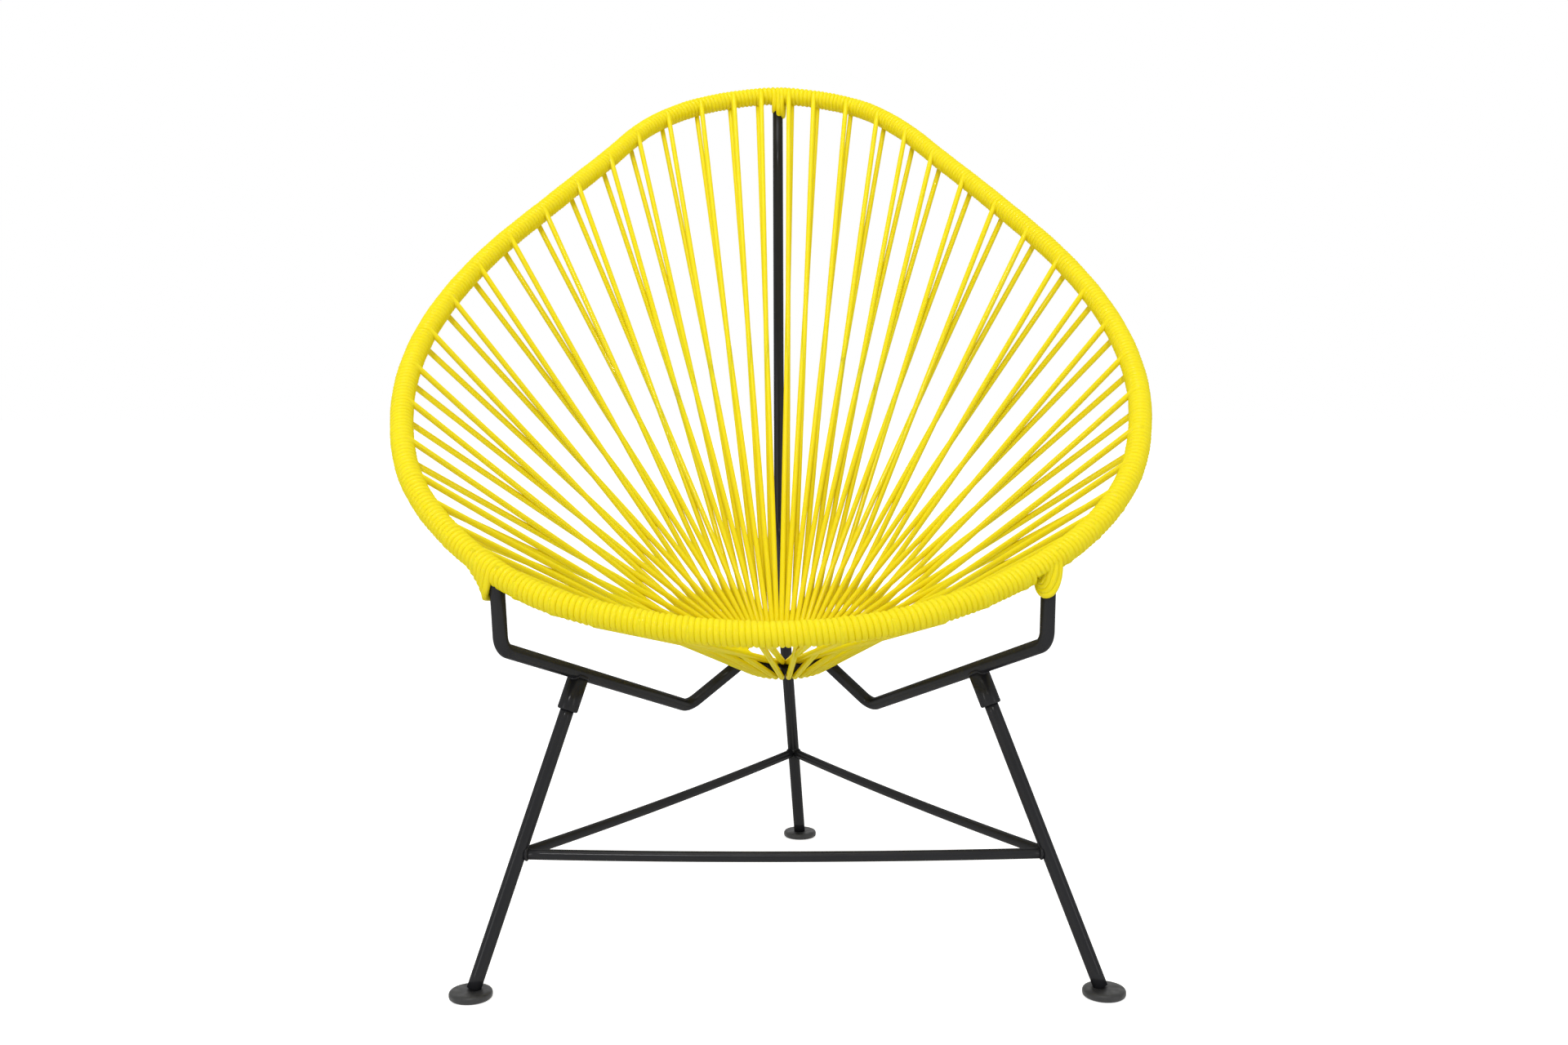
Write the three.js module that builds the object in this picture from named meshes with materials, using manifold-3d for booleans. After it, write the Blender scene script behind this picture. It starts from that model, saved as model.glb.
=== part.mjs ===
// Acapulco chair: a pear-shaped bucket seat of plastic cord, strung between a rim hoop and a small seat ring,
// on a welded rod frame whose three sockets take a three-legged base with stretchers and disc feet.
// Millimetres, +Z up, the sitter faces -Y, left is -X. The origin is on the floor below the middle of the rim.

import * as THREE from 'three';
import { mergeVertices } from 'three/addons/utils/BufferGeometryUtils.js';
import Module from 'manifold-3d';

const wasm = await Module();
wasm.setup();

// Clearance between pieces that touch
const clearance = 0.3;

// Stock: steel rods, socket tube and seat cord
const rodDiameter = 12.7;
const hoopDiameter = 11;
const ringRodDiameter = 10;
const stretcherDiameter = 9.5;
const socketDiameter = 19;
const cordDiameter = 5.5;
const rodSides = 12;
const hoopSides = 8;

// Rim hoop: one flat loop that leans back, widest two fifths of the way up. It is bent by hand, so its halves
// differ by a few millimetres. Its shape is given from the rear to the front, half by half.
const rimMiddle = 4;
const rimHalfWidth = 352;
const rimLength = 960;
const rimFrontHeight = 334;
const rimSlope = THREE.MathUtils.degToRad(36.4);
const leftAcrossShares = [
  0, 0.17, 0.319, 0.4515, 0.574, 0.715, 0.883, 0.9745, 1.0105, 1.0005, 0.926, 0.78, 0.5625, 0.2935, 0,
];
const leftAlongShares = [
  0.998, 0.9853, 0.9577, 0.908, 0.8202, 0.72, 0.5945, 0.4913, 0.4013, 0.312, 0.2063, 0.121, 0.0494, 0.0126, 0,
];
const rightAcrossShares = [
  0, 0.1687, 0.312, 0.431, 0.5585, 0.7025, 0.8645, 0.9525, 0.987, 0.9775, 0.9035, 0.759, 0.5445, 0.2913, 0,
];
const rightAlongShares = [
  0.998, 0.9842, 0.9547, 0.903, 0.8172, 0.7176, 0.5918, 0.4894, 0.4008, 0.3131, 0.2098, 0.127, 0.0603, 0.0159, 0,
];

// Seat ring: a small closed hoop below the middle of the rim, its front lower than its rear
const ringRadius = 48;
const ringPlace = { across: 12, along: -4, height: 257.5 };
const ringTilt = THREE.MathUtils.degToRad(16);
const ringSteps = 36;
const ringSides = 8;

// Front arms: down from the rim, round a bend, inward to a dip below the seat ring, then up to the ring
const leftJointShare = 0.8185;
const rightJointShare = 0.8;
const leftBend = { lean: 3, drop: 64 };
const rightBend = { lean: -1, drop: 70 };
const leftDip = { across: -86.5, along: -43, drop: 52.5 };
const rightDip = { across: 102, along: -43, drop: 51.5 };
const armRingAngle = THREE.MathUtils.degToRad(122);

// Rear spine: down from the top of the rim, round a bend and forward to the rear of the seat ring
const spineBend = { across: 6, along: 340, height: 345 };

const armBendRadius = 15;
const spineBendRadius = 28;
const stepsPerPiece = 3;

// Sockets under the arms and the spine
const socketLength = 29;
const leftSocketShare = 0.37;
const rightSocketShare = 0.352;
const spineSocketShare = 0.83;

// Feet: discs on the floor, where the hand-built base stands
const footDiameter = 38;
const footThickness = 7;
const footEdge = 2;
const leftFoot = { across: -261, along: -297 };
const rightFoot = { across: 292, along: -292 };
const rearFoot = { across: 31, along: 189 };

// Stretchers between the legs, bowed a little towards the floor
const frontStretcherHeight = 118;
const rearStretcherHeight = 110;
const stretcherBow = 3;
const stretcherSteps = 6;

// Seat cord: stations on the rim, as shares of the half loop from the rear to the front. A pair of strands
// leaves at each station. The second one trails by a turn of cord, at the first stations by part of one. The
// middle pairs stand either side of the rim's front corner.
const leftStations = [
  0.0166, 0.0445, 0.0792, 0.1192, 0.1665, 0.217, 0.271, 0.323, 0.3745, 0.4245, 0.4745, 0.522,
  0.5685, 0.613, 0.66, 0.7035, 0.7365, 0.7685, 0.801, 0.8365, 0.864, 0.893, 0.923, 0.953,
];
const rightStations = [
  0.0112, 0.0365, 0.0712, 0.1102, 0.154, 0.2015, 0.253, 0.3045, 0.355, 0.406, 0.455, 0.503,
  0.55, 0.596, 0.643, 0.684, 0.7195, 0.7525, 0.783, 0.8215, 0.852, 0.883, 0.915, 0.9475,
];
const middleLeads = { left: -24, right: 23.8 };
const middleTrails = { left: -3.6, right: 27 };
const trailLength = 4.4;
const shortTrailLength = 1.8;
const shortTrails = 3;
const stationsPerFan = [5, 5, 5, 5, 4];
const strandSides = 4;

// The stations share the seat ring, which is bare at its front, where only the middle pair passes
const bareShare = 0.136;
const middlePassShare = 0.03;

// Winding round the rim, drawn as ribs, and the lashings over the joints of the arms and the spine
const wrapSides = 8;
const ribDepth = 1.8;
const sideRibs = 24;
const frontRibs = 12;
const lashingRibs = 2;
const armLashingWidth = 26;
const spineLashingWidth = 23;
const lashingSwell = 1.2;
const armLashingDrop = 17;
const spineLashingDrop = 29;

const rodRadius = rodDiameter / 2;
const hoopRadius = hoopDiameter / 2;
const ringRodRadius = ringRodDiameter / 2;
const cordRadius = cordDiameter / 2;
const wrapRadius = hoopRadius + cordDiameter;
const sleeveRadius = ringRodRadius + cordDiameter;
const grownRod = rodDiameter + 2 * clearance;

const frameMaterial = new THREE.MeshStandardMaterial({ color: 0x242426, roughness: 0.45, metalness: 0.3 });
const footMaterial = new THREE.MeshStandardMaterial({ color: 0x161617, roughness: 0.6, metalness: 0 });
const cordMaterial = new THREE.MeshStandardMaterial({ color: 0xf4dc22, roughness: 0.35, metalness: 0 });

// Solids: a closed geometry as a boolean solid, and back

function solidOf(geometry) {
  const plain = geometry.clone();
  plain.deleteAttribute('normal');
  plain.deleteAttribute('uv');
  const merged = mergeVertices(plain);
  return new wasm.Manifold(new wasm.Mesh({
    numProp: 3,
    vertProperties: new Float32Array(merged.attributes.position.array),
    triVerts: new Uint32Array(merged.index.array),
  }));
}

function geometryOf(solid) {
  const mesh = solid.getMesh();
  const geometry = new THREE.BufferGeometry();
  geometry.setAttribute('position', new THREE.BufferAttribute(new Float32Array(mesh.vertProperties), 3));
  geometry.setIndex(new THREE.BufferAttribute(new Uint32Array(mesh.triVerts), 1));
  geometry.computeVertexNormals();
  return geometry;
}

function placed({ across, along, height = 0 }) {
  return new THREE.Vector3(across, along, height);
}

// Round bars

function circle(radius, sides) {
  return Array.from({ length: sides }, (_, side) => {
    const angle = (2 * Math.PI * side) / sides;
    return new THREE.Vector2(radius * Math.cos(angle), radius * Math.sin(angle));
  });
}

// A rod's path through its corners, each corner a bend; every straight and bend gets the same number of steps
class BentPath extends THREE.Curve {
  constructor(corners, radius) {
    super();
    this.pieces = [];
    let start = corners[0];
    for (let index = 1; index < corners.length - 1; index++) {
      const corner = corners[index];
      const back = corners[index - 1].clone().sub(corner).normalize();
      const ahead = corners[index + 1].clone().sub(corner).normalize();
      const setback = radius / Math.tan(back.angleTo(ahead) / 2);
      const bendStart = corner.clone().addScaledVector(back, setback);
      const bendEnd = corner.clone().addScaledVector(ahead, setback);
      this.pieces.push(new THREE.LineCurve3(start, bendStart));
      this.pieces.push(new THREE.QuadraticBezierCurve3(bendStart, corner, bendEnd));
      start = bendEnd;
    }
    this.pieces.push(new THREE.LineCurve3(start, corners.at(-1)));
  }

  getPoint(t, target = new THREE.Vector3()) {
    const place = t * this.pieces.length;
    const index = Math.min(Math.floor(place), this.pieces.length - 1);
    return this.pieces[index].getPoint(place - index, target);
  }

  getTangent(t, target = new THREE.Vector3()) {
    const place = t * this.pieces.length;
    const index = Math.min(Math.floor(place), this.pieces.length - 1);
    return this.pieces[index].getTangent(place - index, target);
  }

  getUtoTmapping(u) {
    return u;
  }
}

function bentRod(path, diameter) {
  return new THREE.ExtrudeGeometry(new THREE.Shape(circle(diameter / 2, rodSides)), {
    extrudePath: path,
    steps: path.pieces.length * stepsPerPiece,
  });
}

function straightRod(start, end, diameter) {
  const direction = end.clone().sub(start);
  const geometry = new THREE.CylinderGeometry(diameter / 2, diameter / 2, direction.length(), rodSides);
  const turn = new THREE.Quaternion().setFromUnitVectors(new THREE.Vector3(0, 1, 0), direction.normalize());
  geometry.applyQuaternion(turn);
  const middle = start.clone().add(end).divideScalar(2);
  return geometry.translate(middle.x, middle.y, middle.z);
}

// Tubes drawn ring by ring: a closed loop, a solid length, or a hollow length with its bore

function loopMesh(rings) {
  const sides = rings[0].length;
  const index = [];
  rings.forEach((_, ring) => addBand(index, ring * sides, ((ring + 1) % rings.length) * sides, sides));
  return meshOf(rings.flat(), index);
}

function barMesh(rings) {
  const sides = rings[0].length;
  const lastRing = (rings.length - 1) * sides;
  const index = [];
  for (let ring = 0; ring < rings.length - 1; ring++) {
    addBand(index, ring * sides, (ring + 1) * sides, sides);
  }
  for (let side = 1; side < sides - 1; side++) {
    index.push(0, side + 1, side);
    index.push(lastRing, lastRing + side, lastRing + side + 1);
  }
  return meshOf(rings.flat(), index);
}

function hollowMesh(outer, inner) {
  const sides = outer[0].length;
  const index = [];
  const innerStart = outer.length * sides;
  const innerEnd = innerStart + (inner.length - 1) * sides;
  for (let ring = 0; ring < outer.length - 1; ring++) {
    addBand(index, ring * sides, (ring + 1) * sides, sides);
  }
  for (let ring = 0; ring < inner.length - 1; ring++) {
    addBand(index, innerStart + (ring + 1) * sides, innerStart + ring * sides, sides);
  }
  addBand(index, innerStart, 0, sides);
  addBand(index, (outer.length - 1) * sides, innerEnd, sides);
  return meshOf([...outer.flat(), ...inner.flat()], index);
}

function addBand(index, near, far, sides) {
  for (let side = 0; side < sides; side++) {
    const next = (side + 1) % sides;
    index.push(near + side, near + next, far + next);
    index.push(near + side, far + next, far + side);
  }
}

function meshOf(points, index) {
  const geometry = new THREE.BufferGeometry().setFromPoints(points);
  geometry.setIndex(index);
  geometry.computeVertexNormals();
  return geometry;
}

// A ring of points round a centre, turning from the first direction to the second
function ringOf(centre, first, second, radius, sides) {
  return circle(radius, sides).map((point) => centre.clone()
    .addScaledVector(first, point.x)
    .addScaledVector(second, point.y));
}

// Rim: its centreline from the rear, round the left side to the front and back up the right side

const rimForward = new THREE.Vector3(0, Math.cos(rimSlope), Math.sin(rimSlope));
const rimNormal = new THREE.Vector3(0, -Math.sin(rimSlope), Math.cos(rimSlope));
const rimFront = new THREE.Vector3(rimMiddle, (-rimLength * Math.cos(rimSlope)) / 2, rimFrontHeight);

function rimCorners(acrossShares, alongShares, side) {
  return acrossShares.map((across, index) => rimFront.clone()
    .addScaledVector(rimForward, rimLength * alongShares[index])
    .add(new THREE.Vector3(side * rimHalfWidth * across, 0, 0)));
}

const leftCorners = rimCorners(leftAcrossShares, leftAlongShares, -1);
const rightCorners = rimCorners(rightAcrossShares, rightAlongShares, 1).slice(1, -1).reverse();
const rimCurve = new THREE.CatmullRomCurve3([...leftCorners, ...rightCorners], true, 'centripetal');
rimCurve.arcLengthDivisions = 900;
const loopLength = rimCurve.getLength();
const frontPlace = rimCurve.getLengths()[rimCurve.arcLengthDivisions / 2] / loopLength;

// A place runs from 0 at the rear, left side first, to 1 at the rear again
function rimFrame(place) {
  const wrapped = ((place % 1) + 1) % 1;
  return { centre: rimCurve.getPointAt(wrapped), tangent: rimCurve.getTangentAt(wrapped) };
}

function placeOf(share, side) {
  return side < 0 ? share / 2 : 1 - share / 2;
}

function rimSection(place, radius, sides) {
  const { centre, tangent } = rimFrame(place);
  return ringOf(centre, rimNormal, new THREE.Vector3().crossVectors(tangent, rimNormal), radius, sides);
}

// Seat ring: an angle runs from 0 at the rear to half a turn at the front, on side -1 or 1

const ringCentre = placed(ringPlace);
const ringRearward = new THREE.Vector3(0, Math.cos(ringTilt), Math.sin(ringTilt));
const ringNormal = new THREE.Vector3(0, -Math.sin(ringTilt), Math.cos(ringTilt));

function ringFrame(angle, side) {
  const outward = ringRearward.clone().multiplyScalar(Math.cos(angle));
  outward.x = side * Math.sin(angle);
  const centre = ringCentre.clone().addScaledVector(outward, ringRadius);
  return { centre, outward, tangent: new THREE.Vector3().crossVectors(ringNormal, outward) };
}

function ringSection(angle, radius) {
  const { centre, outward } = ringFrame(angle, -1);
  return ringOf(centre, outward, ringNormal, radius, wrapSides).reverse();
}

function torusAt(tubeRadius) {
  return new THREE.TorusGeometry(ringRadius, tubeRadius, ringSides, ringSteps);
}

// Paths of the arms and the spine, each ending inside the rods it is welded to, on the near side

function rodBetween(joint, bends, end, bendRadius) {
  const start = joint.clone().add(bends[0].clone().sub(joint).setLength(hoopRadius / 2));
  const finish = end.clone().add(bends.at(-1).clone().sub(end).setLength(ringRodRadius / 2));
  const corners = [start, ...bends, finish];
  return { corners, path: new BentPath(corners, bendRadius) };
}

function armRod(place, side, bend, { across, along, drop }) {
  const joint = rimFrame(place).centre;
  const bendPlace = joint.clone().add(placed({ across: bend.lean, along: 0, height: -bend.drop }));
  const dip = placed({ across, along, height: ringPlace.height - drop });
  return rodBetween(joint, [bendPlace, dip], ringFrame(armRingAngle, side).centre, armBendRadius);
}

const leftArmPlace = placeOf(leftJointShare, -1);
const rightArmPlace = placeOf(rightJointShare, 1);
const leftArm = armRod(leftArmPlace, -1, leftBend, leftDip);
const rightArm = armRod(rightArmPlace, 1, rightBend, rightDip);
const spine = rodBetween(rimFrame(0).centre, [placed(spineBend)], ringFrame(0, 1).centre, spineBendRadius);

const leftSocketTop = leftArm.corners[1].clone().lerp(leftArm.corners[2], leftSocketShare);
const rightSocketTop = rightArm.corners[1].clone().lerp(rightArm.corners[2], rightSocketShare);
const rearSocketTop = spine.corners[1].clone().lerp(spine.corners[2], spineSocketShare);

// Runs of winding round the rim, in order along the loop

const armHalf = armLashingWidth / 2 / loopLength;
const spineHalf = spineLashingWidth / 2 / loopLength;
const rimRuns = [
  { name: 'rear_lashing', from: -spineHalf, to: spineHalf, ribs: lashingRibs },
  { name: 'left_rim_winding', from: spineHalf, to: leftArmPlace - armHalf, ribs: sideRibs },
  { name: 'front_left_lashing', from: leftArmPlace - armHalf, to: leftArmPlace + armHalf, ribs: lashingRibs },
  { name: 'front_rim_winding', from: leftArmPlace + armHalf, to: rightArmPlace - armHalf, ribs: frontRibs },
  { name: 'front_right_lashing', from: rightArmPlace - armHalf, to: rightArmPlace + armHalf, ribs: lashingRibs },
  { name: 'right_rim_winding', from: rightArmPlace + armHalf, to: 1 - spineHalf, ribs: sideRibs },
];

// Rim hoop, with its corners where the bores of its windings have theirs

function hoopMesh(radius) {
  const rings = rimRuns.flatMap(({ from, to, ribs }) => Array.from({ length: ribs }, (_, step) => (
    rimSection(from + ((to - from) * step) / ribs, radius, hoopSides)
  )));
  return loopMesh(rings);
}

const boreRadius = (hoopRadius + clearance) / Math.cos(Math.PI / hoopSides);

function wrapSections({ from, to, ribs }, radius) {
  const halfGap = clearance / 2 / loopLength;
  const start = from + halfGap;
  const length = to - from - 2 * halfGap;
  return Array.from({ length: 2 * ribs + 1 }, (_, ring) => {
    const depth = ring % 2 === 0 ? ribDepth : 0;
    return rimSection(start + (length * ring) / (2 * ribs), radius - depth, wrapSides);
  });
}

function windingMesh(run) {
  const { from, to, ribs } = run;
  const halfGap = clearance / 2 / loopLength;
  const inner = Array.from({ length: ribs + 1 }, (_, ring) => {
    const place = THREE.MathUtils.clamp(from + ((to - from) * ring) / ribs, from + halfGap, to - halfGap);
    return rimSection(place, boreRadius, wrapSides);
  });
  return hollowMesh(wrapSections(run, wrapRadius), inner);
}

// Lashing: a swollen run of winding over a joint, with turns down the rod that ends there

function lashingSolid(run, joint, bend, drop, rodCutter, hoopCutter) {
  const down = bend.clone().sub(joint).normalize();
  const wound = solidOf(barMesh(wrapSections(run, wrapRadius + lashingSwell)));
  const tailDiameter = rodDiameter + 2 * cordDiameter;
  const tail = solidOf(straightRod(joint, joint.clone().addScaledVector(down, drop), tailDiameter));
  const ends = [-1, 1].map((end) => endBlock(run, end));
  return ends.reduce((solid, block) => solid.subtract(block), wound.add(tail).subtract(hoopCutter))
    .subtract(rodCutter);
}

// The room beyond one end of a lashing, which the windings beside it fill
function endBlock({ from, to }, end) {
  const halfGap = clearance / 2 / loopLength;
  const { centre, tangent } = rimFrame(end < 0 ? from + halfGap : to - halfGap);
  const far = centre.clone().addScaledVector(tangent, end * rodDiameter);
  return solidOf(straightRod(centre, far, 2 * (wrapRadius + lashingSwell)));
}

// Strands: straight cords from a station on the rim to a pass on the seat ring. The leading strand of a pair
// leaves the sitter's side of the rim and passes under the ring, the trailing one the other way about.

const strandFlat = cordRadius * Math.cos(Math.PI / strandSides);
const middleStation = leftStations.length;
const firstPass = (rodRadius + clearance) / ringRadius;
const barePass = Math.PI * (1 - bareShare);
const passPitch = (barePass - firstPass) / middleStation;

function passAngle(station) {
  return station < middleStation
    ? firstPass + passPitch * (station + 1 / 2)
    : Math.PI * (1 - middlePassShare);
}

// Where a strand leaves the rim
function stationPlace(station, side, layer) {
  if (station === middleStation) {
    const { left, right } = layer > 0 ? middleLeads : middleTrails;
    return frontPlace + (side < 0 ? left : right) / loopLength;
  }
  const lead = placeOf((side < 0 ? leftStations : rightStations)[station], side);
  const trail = station < shortTrails ? shortTrailLength : trailLength;
  return layer > 0 ? lead : lead - (side * trail) / loopLength;
}

function strandMesh(station, side, layer, margin) {
  const rim = rimFrame(stationPlace(station, side, layer));
  const ring = ringFrame(passAngle(station), side);
  const chord = ring.centre.clone().sub(rim.centre);
  const start = rim.centre.addScaledVector(sideways(rim.tangent, chord, rimNormal), layer * (hoopRadius + cordRadius));
  const end = ring.centre.addScaledVector(
    sideways(ring.tangent, chord, ringNormal),
    -layer * (ringRodRadius + cordRadius),
  );
  const direction = end.clone().sub(start).normalize();
  const slant = Math.abs(direction.dot(rim.tangent));
  const nearEdge = hoopRadius + cordRadius - strandFlat;
  const reach = wrapRadius + lashingSwell + clearance;
  const setback = (Math.sqrt(reach * reach - nearEdge * nearEdge) + strandFlat * slant) / Math.sqrt(1 - slant * slant);
  start.addScaledVector(direction, setback - margin);
  end.addScaledVector(direction, margin);
  return strandBetween(start, end, ring.tangent, cordRadius + margin / Math.cos(Math.PI / strandSides));
}

// The direction square to a rod and to a strand that passes it, on the side of the upward direction
function sideways(rodDirection, strandDirection, upward) {
  const across = new THREE.Vector3().crossVectors(rodDirection, strandDirection).normalize();
  return across.dot(upward) < 0 ? across.negate() : across;
}

function strandBetween(start, end, flatDirection, radius) {
  const along = end.clone().sub(start);
  const length = along.length();
  along.normalize();
  const up = new THREE.Vector3().crossVectors(along, flatDirection).normalize();
  const across = new THREE.Vector3().crossVectors(along, up);
  const middle = start.clone().add(end).divideScalar(2);
  const turn = new THREE.Matrix4().makeBasis(up, along, across.negate()).setPosition(middle);
  const geometry = new THREE.CylinderGeometry(radius, radius, length, strandSides, 1, false, Math.PI / 4);
  return geometry.applyMatrix4(turn);
}

// Fan: neighbouring pairs of strands and the length of winding round the seat ring that joins them

function sleeveMesh(from, to, steps) {
  const halfGap = clearance / 2 / (ringRadius - sleeveRadius);
  const sections = (radius) => Array.from({ length: steps + 1 }, (_, step) => (
    ringSection(from + halfGap + ((to - from - 2 * halfGap) * step) / steps, radius)
  ));
  const bore = (ringRodRadius + clearance) / Math.cos(Math.PI / wrapSides);
  return hollowMesh(sections(sleeveRadius), sections(bore));
}

// An angle on the right side, as it is counted on the left side's side of the ring
function signedAngle(angle, side) {
  return side < 0 ? angle : 2 * Math.PI - angle;
}

function fanSolid(first, count, side) {
  const near = signedAngle(firstPass + passPitch * first, side);
  const far = signedAngle(firstPass + passPitch * (first + count), side);
  let solid = solidOf(sleeveMesh(Math.min(near, far), Math.max(near, far), count));
  for (let station = first; station < first + count; station++) {
    solid = solid.add(pairSolid(station, side, 0));
  }
  const neighbours = [first - 1, first + count].filter((station) => station >= 0);
  return neighbours.reduce((rest, station) => rest.subtract(pairSolid(station, side, clearance)), solid);
}

function middleSolid() {
  const reach = 2 * Math.PI * middlePassShare;
  const sleeve = solidOf(sleeveMesh(Math.PI - reach, Math.PI + reach, 2));
  return sleeve.add(pairSolid(middleStation, -1, 0)).add(pairSolid(middleStation, 1, 0));
}

// Both strands of a station, grown by a margin
function pairSolid(station, side, margin) {
  return solidOf(strandMesh(station, side, 1, margin)).add(solidOf(strandMesh(station, side, -1, margin)));
}

// Assembly

const chair = new THREE.Group();
const seatFrame = new THREE.Group();
const base = new THREE.Group();
const seat = new THREE.Group();
chair.add(seatFrame, base, seat);

function addPart(group, name, geometry, material) {
  const mesh = new THREE.Mesh(geometry, material);
  mesh.name = name;
  group.add(mesh);
  return mesh;
}

const ringTurn = new THREE.Euler(ringTilt, 0, 0);
const ringMatrix = new THREE.Matrix4().makeRotationFromEuler(ringTurn).setPosition(ringCentre);
const hoopCutter = solidOf(hoopMesh(boreRadius));
const ringCutter = solidOf(torusAt(ringRodRadius + clearance).applyMatrix4(ringMatrix));

// Seat frame: hoop, ring, arms and spine

addPart(seatFrame, 'rim_hoop', hoopMesh(hoopRadius), frameMaterial);

const seatRing = addPart(seatFrame, 'seat_ring', torusAt(ringRodRadius), frameMaterial);
seatRing.position.copy(ringCentre);
seatRing.rotation.copy(ringTurn);

const frameRods = [
  ['front_left_arm', leftArm.path],
  ['front_right_arm', rightArm.path],
  ['rear_spine', spine.path],
];
for (const [name, path] of frameRods) {
  const rod = solidOf(bentRod(path, rodDiameter)).subtract(hoopCutter).subtract(ringCutter);
  addPart(seatFrame, name, geometryOf(rod), frameMaterial);
}

// Base: legs that plug into the sockets, and disc feet

const legs = [
  { place: 'front_left', top: leftSocketTop, foot: leftFoot, carrier: leftArm.path },
  { place: 'front_right', top: rightSocketTop, foot: rightFoot, carrier: rightArm.path },
  { place: 'rear', top: rearSocketTop, foot: rearFoot, carrier: spine.path },
];

for (const leg of legs) {
  leg.floor = placed(leg.foot);
  leg.down = leg.floor.clone().sub(leg.top).normalize();

  const socketStart = leg.top.clone().addScaledVector(leg.down, rodRadius / 2);
  const legStart = leg.top.clone().addScaledVector(leg.down, socketDiameter / 2);
  const socketEnd = leg.top.clone().addScaledVector(leg.down, rodRadius + socketLength);
  const boreEnd = socketEnd.clone().addScaledVector(leg.down, rodDiameter);
  const socket = solidOf(straightRod(socketStart, socketEnd, socketDiameter))
    .subtract(solidOf(straightRod(leg.top, boreEnd, grownRod)))
    .subtract(solidOf(bentRod(leg.carrier, grownRod)));
  addPart(seatFrame, `${leg.place}_socket`, geometryOf(socket), frameMaterial);

  const footTop = footThickness + clearance;
  const floorBlock = new THREE.BoxGeometry(footDiameter, footDiameter, 2 * footTop);
  floorBlock.translate(leg.floor.x, leg.floor.y, leg.floor.z);
  const bar = solidOf(straightRod(legStart, leg.floor, rodDiameter)).subtract(solidOf(floorBlock));
  addPart(base, `${leg.place}_leg`, geometryOf(bar), frameMaterial);

  const foot = addPart(base, `${leg.place}_foot`, footMesh(), footMaterial);
  foot.position.copy(leg.floor);
  foot.rotation.x = Math.PI / 2;
}

function footMesh() {
  const radius = footDiameter / 2;
  return new THREE.LatheGeometry([
    new THREE.Vector2(0, 0),
    new THREE.Vector2(radius - footEdge, 0),
    new THREE.Vector2(radius, footEdge),
    new THREE.Vector2(radius, footThickness - footEdge),
    new THREE.Vector2(radius - footEdge, footThickness),
    new THREE.Vector2(0, footThickness),
  ], 2 * rodSides);
}

// Stretchers, each cut to the legs and to the stretchers before it

function pointOnLeg({ top, floor }, height) {
  return floor.clone().lerp(top, height / top.z);
}

class BowedPath extends THREE.QuadraticBezierCurve3 {
  constructor(start, end) {
    const middle = start.clone().add(end).divideScalar(2);
    middle.z -= 2 * stretcherBow;
    super(start, middle, end);
  }
}

function stretcherRod(path, diameter) {
  return solidOf(new THREE.ExtrudeGeometry(new THREE.Shape(circle(diameter / 2, rodSides)), {
    extrudePath: path,
    steps: stretcherSteps,
  }));
}

const [leftLeg, rightLeg, rearLeg] = legs;
const stretchers = [
  ['front_stretcher', pointOnLeg(leftLeg, frontStretcherHeight), pointOnLeg(rightLeg, frontStretcherHeight)],
  ['left_stretcher', pointOnLeg(leftLeg, frontStretcherHeight), pointOnLeg(rearLeg, rearStretcherHeight)],
  ['right_stretcher', pointOnLeg(rightLeg, frontStretcherHeight), pointOnLeg(rearLeg, rearStretcherHeight)],
];
let taken = legs
  .map(({ top, floor }) => solidOf(straightRod(top, floor, grownRod)))
  .reduce((sum, solid) => sum.add(solid));
for (const [name, start, end] of stretchers) {
  const path = new BowedPath(start, end);
  addPart(base, name, geometryOf(stretcherRod(path, stretcherDiameter).subtract(taken)), frameMaterial);
  taken = taken.add(stretcherRod(path, stretcherDiameter + 2 * clearance));
}

// Seat cord: windings and lashings round the rim, and the fans of strands

const rodCutters = frameRods.map(([, path]) => solidOf(bentRod(path, grownRod)));
const [leftCutter, rightCutter, spineCutter] = rodCutters;
const lashings = {
  rear_lashing: [spine, spineLashingDrop, spineCutter],
  front_left_lashing: [leftArm, armLashingDrop, leftCutter],
  front_right_lashing: [rightArm, armLashingDrop, rightCutter],
};
for (const run of rimRuns) {
  if (run.name in lashings) {
    const [rod, drop, rodCutter] = lashings[run.name];
    const [joint, bend] = rod.corners;
    const solid = lashingSolid(run, joint, bend, drop, rodCutter, hoopCutter);
    addPart(seat, run.name, geometryOf(solid), cordMaterial);
  } else {
    addPart(seat, run.name, windingMesh(run), cordMaterial);
  }
}

function addFan(name, solid) {
  const clear = rodCutters.reduce((rest, cutter) => rest.subtract(cutter), solid);
  addPart(seat, name, geometryOf(clear), cordMaterial);
}

for (const [place, side] of [['left', -1], ['right', 1]]) {
  let first = 0;
  stationsPerFan.forEach((count, index) => {
    addFan(`seat_cords_${place}_${index + 1}`, fanSolid(first, count, side));
    first += count;
  });
}
addFan('seat_cords_middle', middleSolid());

export default chair;
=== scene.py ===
# Acapulco chair: the visible finish of the part, in metres. The rods, sockets and feet sit where the solids
# are, with weld beads at their joints. The cord is wound turn by turn and strung strand by strand.

import math

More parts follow.
